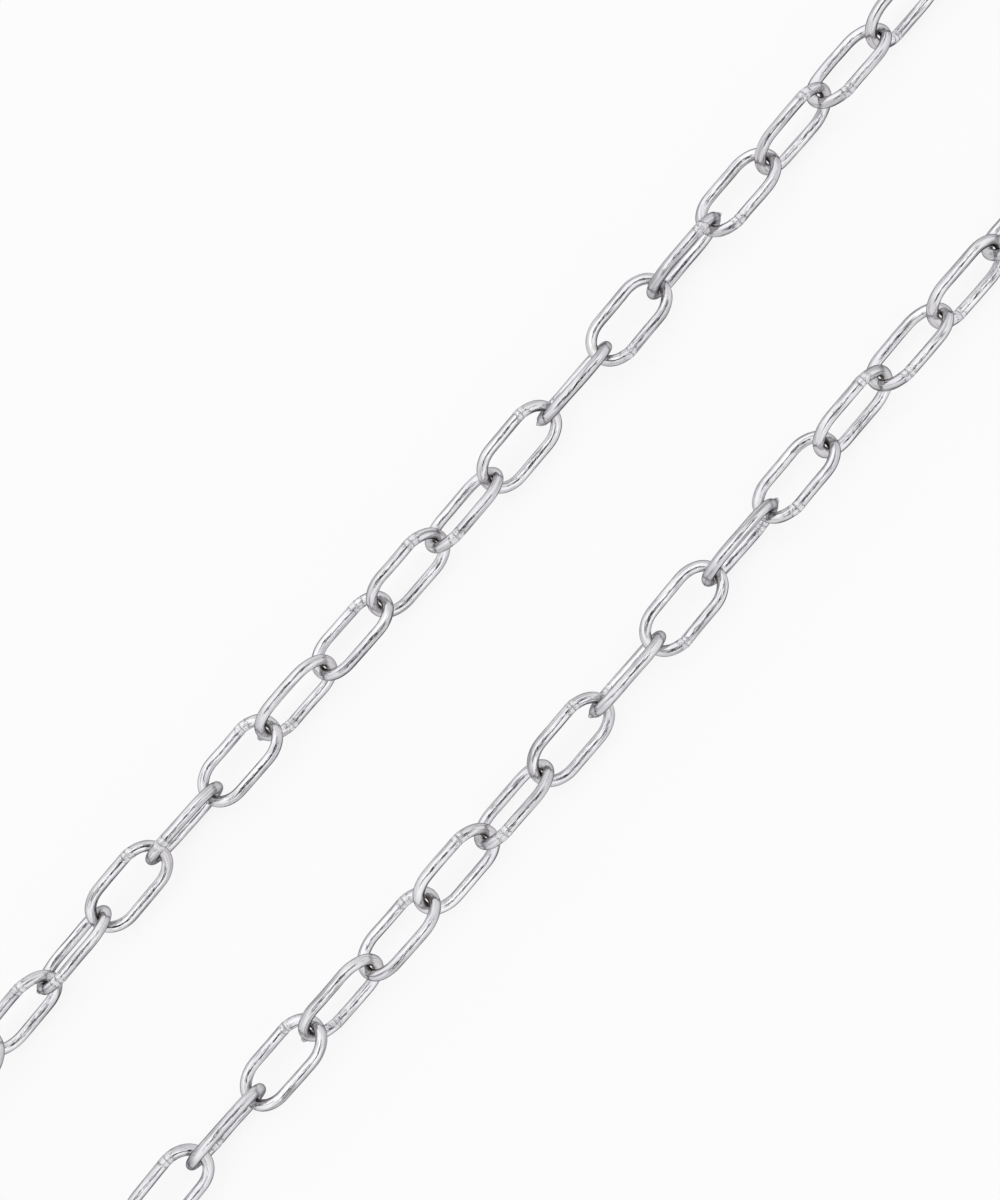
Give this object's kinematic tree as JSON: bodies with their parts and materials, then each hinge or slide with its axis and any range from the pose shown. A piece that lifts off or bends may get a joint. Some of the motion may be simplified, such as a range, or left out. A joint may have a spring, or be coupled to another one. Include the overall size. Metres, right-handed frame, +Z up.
{
  "type": "paperclip chain",
  "caption": "Doubled-back length of long oval wire links, each soldered closed and hooked through the next, with a slow twist along the whole run.",
  "frame": {"origin": "under the middle of the chain's box, on the surface that it lies on", "axes": "+X along the two strands from the free ends to the turn, +Y from the outgoing strand to the returning one, +Z up"},
  "size_m": [0.1976, 0.0316, 0.0062],
  "materials": {
    "silver": "polished"
  },
  "bodies": {
    "link_01": {"link_01": "silver"},
    "link_02": {"link_02": "silver"},
    "link_03": {"link_03": "silver"},
    "link_04": {"link_04": "silver"},
    "link_05": {"link_05": "silver"},
    "link_06": {"link_06": "silver"},
    "link_07": {"link_07": "silver"},
    "link_08": {"link_08": "silver"},
    "link_09": {"link_09": "silver"},
    "link_10": {"link_10": "silver"},
    "link_11": {"link_11": "silver"},
    "link_12": {"link_12": "silver"},
    "link_13": {"link_13": "silver"},
    "link_14": {"link_14": "silver"},
    "link_15": {"link_15": "silver"},
    "link_16": {"link_16": "silver"},
    "link_17": {"link_17": "silver"},
    "link_18": {"link_18": "silver"},
    "link_19": {"link_19": "silver"},
    "link_20": {"link_20": "silver"},
    "link_21": {"link_21": "silver"},
    "link_22": {"link_22": "silver"},
    "link_23": {"link_23": "silver"},
    "link_24": {"link_24": "silver"},
    "link_25": {"link_25": "silver"},
    "link_26": {"link_26": "silver"},
    "link_27": {"link_27": "silver"},
    "link_28": {"link_28": "silver"},
    "link_29": {"link_29": "silver"},
    "link_30": {"link_30": "silver"},
    "link_31": {"link_31": "silver"},
    "link_32": {"link_32": "silver"},
    "link_33": {"link_33": "silver"},
    "link_34": {"link_34": "silver"},
    "link_35": {"link_35": "silver"},
    "link_36": {"link_36": "silver"},
    "link_37": {"link_37": "silver"},
    "link_38": {"link_38": "silver"},
    "link_39": {"link_39": "silver"},
    "link_40": {"link_40": "silver"},
    "link_41": {"link_41": "silver"},
    "link_42": {"link_42": "silver"}
  },
  "joints": [
    {"name": "hook_01_02", "type": "hinge", "parent": "link_01", "child": "link_02", "pos_m": [-0.0877, -0.01255, 0.0031], "axis": [-0.0101, -0.809, 0.5878], "range_deg": [-120, 120]},
    {"name": "hook_02_03", "type": "hinge", "parent": "link_02", "child": "link_03", "pos_m": [-0.07862, -0.01266, 0.0031], "axis": [0.0091, 0.7313, 0.682], "range_deg": [-120, 120]},
    {"name": "hook_03_04", "type": "hinge", "parent": "link_03", "child": "link_04", "pos_m": [-0.06954, -0.01274, 0.0031], "axis": [0.0047, 0.515, -0.8572], "range_deg": [-120, 120]},
    {"name": "hook_04_05", "type": "hinge", "parent": "link_04", "child": "link_05", "pos_m": [-0.06046, -0.01277, 0.0031], "axis": [-0.0028, -0.848, -0.5299], "range_deg": [-120, 120]},
    {"name": "hook_05_06", "type": "hinge", "parent": "link_05", "child": "link_06", "pos_m": [-0.05275, -0.01274, 0.0031], "axis": [-0.0086, 0.9455, 0.3256], "range_deg": [-120, 120]},
    {"name": "hook_06_07", "type": "hinge", "parent": "link_06", "child": "link_07", "pos_m": [-0.0423, -0.01265, 0.0031], "axis": [0.0086, -0.9455, -0.3256], "range_deg": [-120, 120]},
    {"name": "hook_07_08", "type": "hinge", "parent": "link_07", "child": "link_08", "pos_m": [-0.03459, -0.01255, 0.0031], "axis": [-0.0125, 0.9986, -0.0523], "range_deg": [-120, 120]},
    {"name": "hook_08_09", "type": "hinge", "parent": "link_08", "child": "link_09", "pos_m": [-0.02414, -0.01242, 0.0031], "axis": [0.0125, -0.9986, 0.0523], "range_deg": [-120, 120]},
    {"name": "hook_09_10", "type": "hinge", "parent": "link_09", "child": "link_10", "pos_m": [-0.01643, -0.01234, 0.0031], "axis": [-0.0027, 0.7986, -0.6018], "range_deg": [-120, 120]},
    {"name": "hook_10_11", "type": "hinge", "parent": "link_10", "child": "link_11", "pos_m": [-0.00598, -0.01231, 0.0031], "axis": [0.0027, -0.7986, 0.6018], "range_deg": [-120, 120]},
    {"name": "hook_11_12", "type": "hinge", "parent": "link_11", "child": "link_12", "pos_m": [0.0031, -0.01235, 0.0031], "axis": [0.0023, 0.6947, 0.7193], "range_deg": [-120, 120]},
    {"name": "hook_12_13", "type": "hinge", "parent": "link_12", "child": "link_13", "pos_m": [0.01218, -0.01243, 0.0031], "axis": [0.0059, 0.6428, -0.766], "range_deg": [-120, 120]},
    {"name": "hook_13_14", "type": "hinge", "parent": "link_13", "child": "link_14", "pos_m": [0.02126, -0.01255, 0.0031], "axis": [-0.0111, -0.8909, -0.454], "range_deg": [-120, 120]},
    {"name": "hook_14_15", "type": "hinge", "parent": "link_14", "child": "link_15", "pos_m": [0.02897, -0.01265, 0.0031], "axis": [0.009, 0.9902, 0.1392], "range_deg": [-120, 120]},
    {"name": "hook_15_16", "type": "hinge", "parent": "link_15", "child": "link_16", "pos_m": [0.03942, -0.01274, 0.0031], "axis": [-0.009, -0.9902, -0.1392], "range_deg": [-120, 120]},
    {"name": "hook_16_17", "type": "hinge", "parent": "link_16", "child": "link_17", "pos_m": [0.04713, -0.01277, 0.0031], "axis": [-0.003, 0.8829, -0.4695], "range_deg": [-120, 120]},
    {"name": "hook_17_18", "type": "hinge", "parent": "link_17", "child": "link_18", "pos_m": [0.05758, -0.01273, 0.0031], "axis": [0.003, -0.8829, 0.4695], "range_deg": [-120, 120]},
    {"name": "hook_18_19", "type": "hinge", "parent": "link_18", "child": "link_19", "pos_m": [0.06666, -0.01265, 0.00309], "axis": [-0.0052, 0.5736, 0.8192], "range_deg": [-120, 120]},
    {"name": "hook_19_20", "type": "hinge", "parent": "link_19", "child": "link_20", "pos_m": [0.07574, -0.01253, 0.0031], "axis": [-0.0066, 0.5299, -0.848], "range_deg": [-120, 120]},
    {"name": "hook_20_21", "type": "hinge", "parent": "link_20", "child": "link_21", "pos_m": [0.08482, -0.01242, 0.0031], "axis": [0.0116, -0.9335, -0.3584], "range_deg": [-100, 115]},
    {"name": "hook_21_22", "type": "hinge", "parent": "link_21", "child": "link_22", "pos_m": [0.09229, -0.00939, 0.00291], "axis": [-0.8112, 0.4133, 0.4137], "range_deg": [-72, 70]},
    {"name": "hook_22_23", "type": "hinge", "parent": "link_22", "child": "link_23", "pos_m": [0.09703, -0.00008, 0.00291], "axis": [0.8112, -0.4133, -0.4137], "range_deg": [-56, 72]},
    {"name": "hook_23_24", "type": "hinge", "parent": "link_23", "child": "link_24", "pos_m": [0.0944, 0.0078, 0.00295], "axis": [-0.4483, -0.7618, 0.4676], "range_deg": [-72, 70]},
    {"name": "hook_24_25", "type": "hinge", "parent": "link_24", "child": "link_25", "pos_m": [0.08535, 0.01302, 0.00278], "axis": [0.4483, 0.7618, -0.4676], "range_deg": [-85, 98]},
    {"name": "hook_25_26", "type": "hinge", "parent": "link_25", "child": "link_26", "pos_m": [0.0775, 0.0124, 0.00309], "axis": [0.0031, -0.9232, 0.3843], "range_deg": [-120, 120]},
    {"name": "hook_26_27", "type": "hinge", "parent": "link_26", "child": "link_27", "pos_m": [0.06705, 0.01237, 0.00309], "axis": [-0.0031, 0.9232, -0.3843], "range_deg": [-120, 120]},
    {"name": "hook_27_28", "type": "hinge", "parent": "link_27", "child": "link_28", "pos_m": [0.05934, 0.01239, 0.00309], "axis": [-0.0089, -0.9727, -0.2317], "range_deg": [-120, 120]},
    {"name": "hook_28_29", "type": "hinge", "parent": "link_28", "child": "link_29", "pos_m": [0.04889, 0.01249, 0.00309], "axis": [0.0089, 0.9727, 0.2317], "range_deg": [-120, 120]},
    {"name": "hook_29_30", "type": "hinge", "parent": "link_29", "child": "link_30", "pos_m": [0.03981, 0.01261, 0.0031], "axis": [-0.0063, -0.506, 0.8625], "range_deg": [-120, 120]},
    {"name": "hook_30_31", "type": "hinge", "parent": "link_30", "child": "link_31", "pos_m": [0.03073, 0.01272, 0.0031], "axis": [-0.0105, -0.8443, -0.5358], "range_deg": [-120, 120]},
    {"name": "hook_31_32", "type": "hinge", "parent": "link_31", "child": "link_32", "pos_m": [0.02165, 0.0128, 0.00309], "axis": [0.0065, 0.712, -0.7022], "range_deg": [-120, 120]},
    {"name": "hook_32_33", "type": "hinge", "parent": "link_32", "child": "link_33", "pos_m": [0.01257, 0.01282, 0.0031], "axis": [0.0021, 0.6239, 0.7815], "range_deg": [-120, 120]},
    {"name": "hook_33_34", "type": "hinge", "parent": "link_33", "child": "link_34", "pos_m": [0.00349, 0.01279, 0.00309], "axis": [0.0028, -0.8517, 0.524], "range_deg": [-120, 120]},
    {"name": "hook_34_35", "type": "hinge", "parent": "link_34", "child": "link_35", "pos_m": [-0.00422, 0.01272, 0.00309], "axis": [-0.0125, 0.999, 0.0419], "range_deg": [-120, 120]},
    {"name": "hook_35_36", "type": "hinge", "parent": "link_35", "child": "link_36", "pos_m": [-0.01467, 0.01259, 0.00309], "axis": [0.0125, -0.999, -0.0419], "range_deg": [-120, 120]},
    {"name": "hook_36_37", "type": "hinge", "parent": "link_36", "child": "link_37", "pos_m": [-0.02238, 0.01249, 0.00309], "axis": [-0.0083, 0.9106, 0.4131], "range_deg": [-120, 120]},
    {"name": "hook_37_38", "type": "hinge", "parent": "link_37", "child": "link_38", "pos_m": [-0.03283, 0.01239, 0.00309], "axis": [0.0083, -0.9106, -0.4131], "range_deg": [-120, 120]},
    {"name": "hook_38_39", "type": "hinge", "parent": "link_38", "child": "link_39", "pos_m": [-0.04054, 0.01237, 0.00309], "axis": [0.0027, 0.7944, 0.6074], "range_deg": [-120, 120]},
    {"name": "hook_39_40", "type": "hinge", "parent": "link_39", "child": "link_40", "pos_m": [-0.05099, 0.0124, 0.00309], "axis": [-0.0027, -0.7944, -0.6074], "range_deg": [-120, 120]},
    {"name": "hook_40_41", "type": "hinge", "parent": "link_40", "child": "link_41", "pos_m": [-0.06007, 0.01249, 0.0031], "axis": [0.0054, 0.5934, -0.8049], "range_deg": [-120, 120]},
    {"name": "hook_41_42", "type": "hinge", "parent": "link_41", "child": "link_42", "pos_m": [-0.06915, 0.0126, 0.00309], "axis": [0.0083, 0.6639, 0.7478], "range_deg": [-120, 120]}
  ]
}
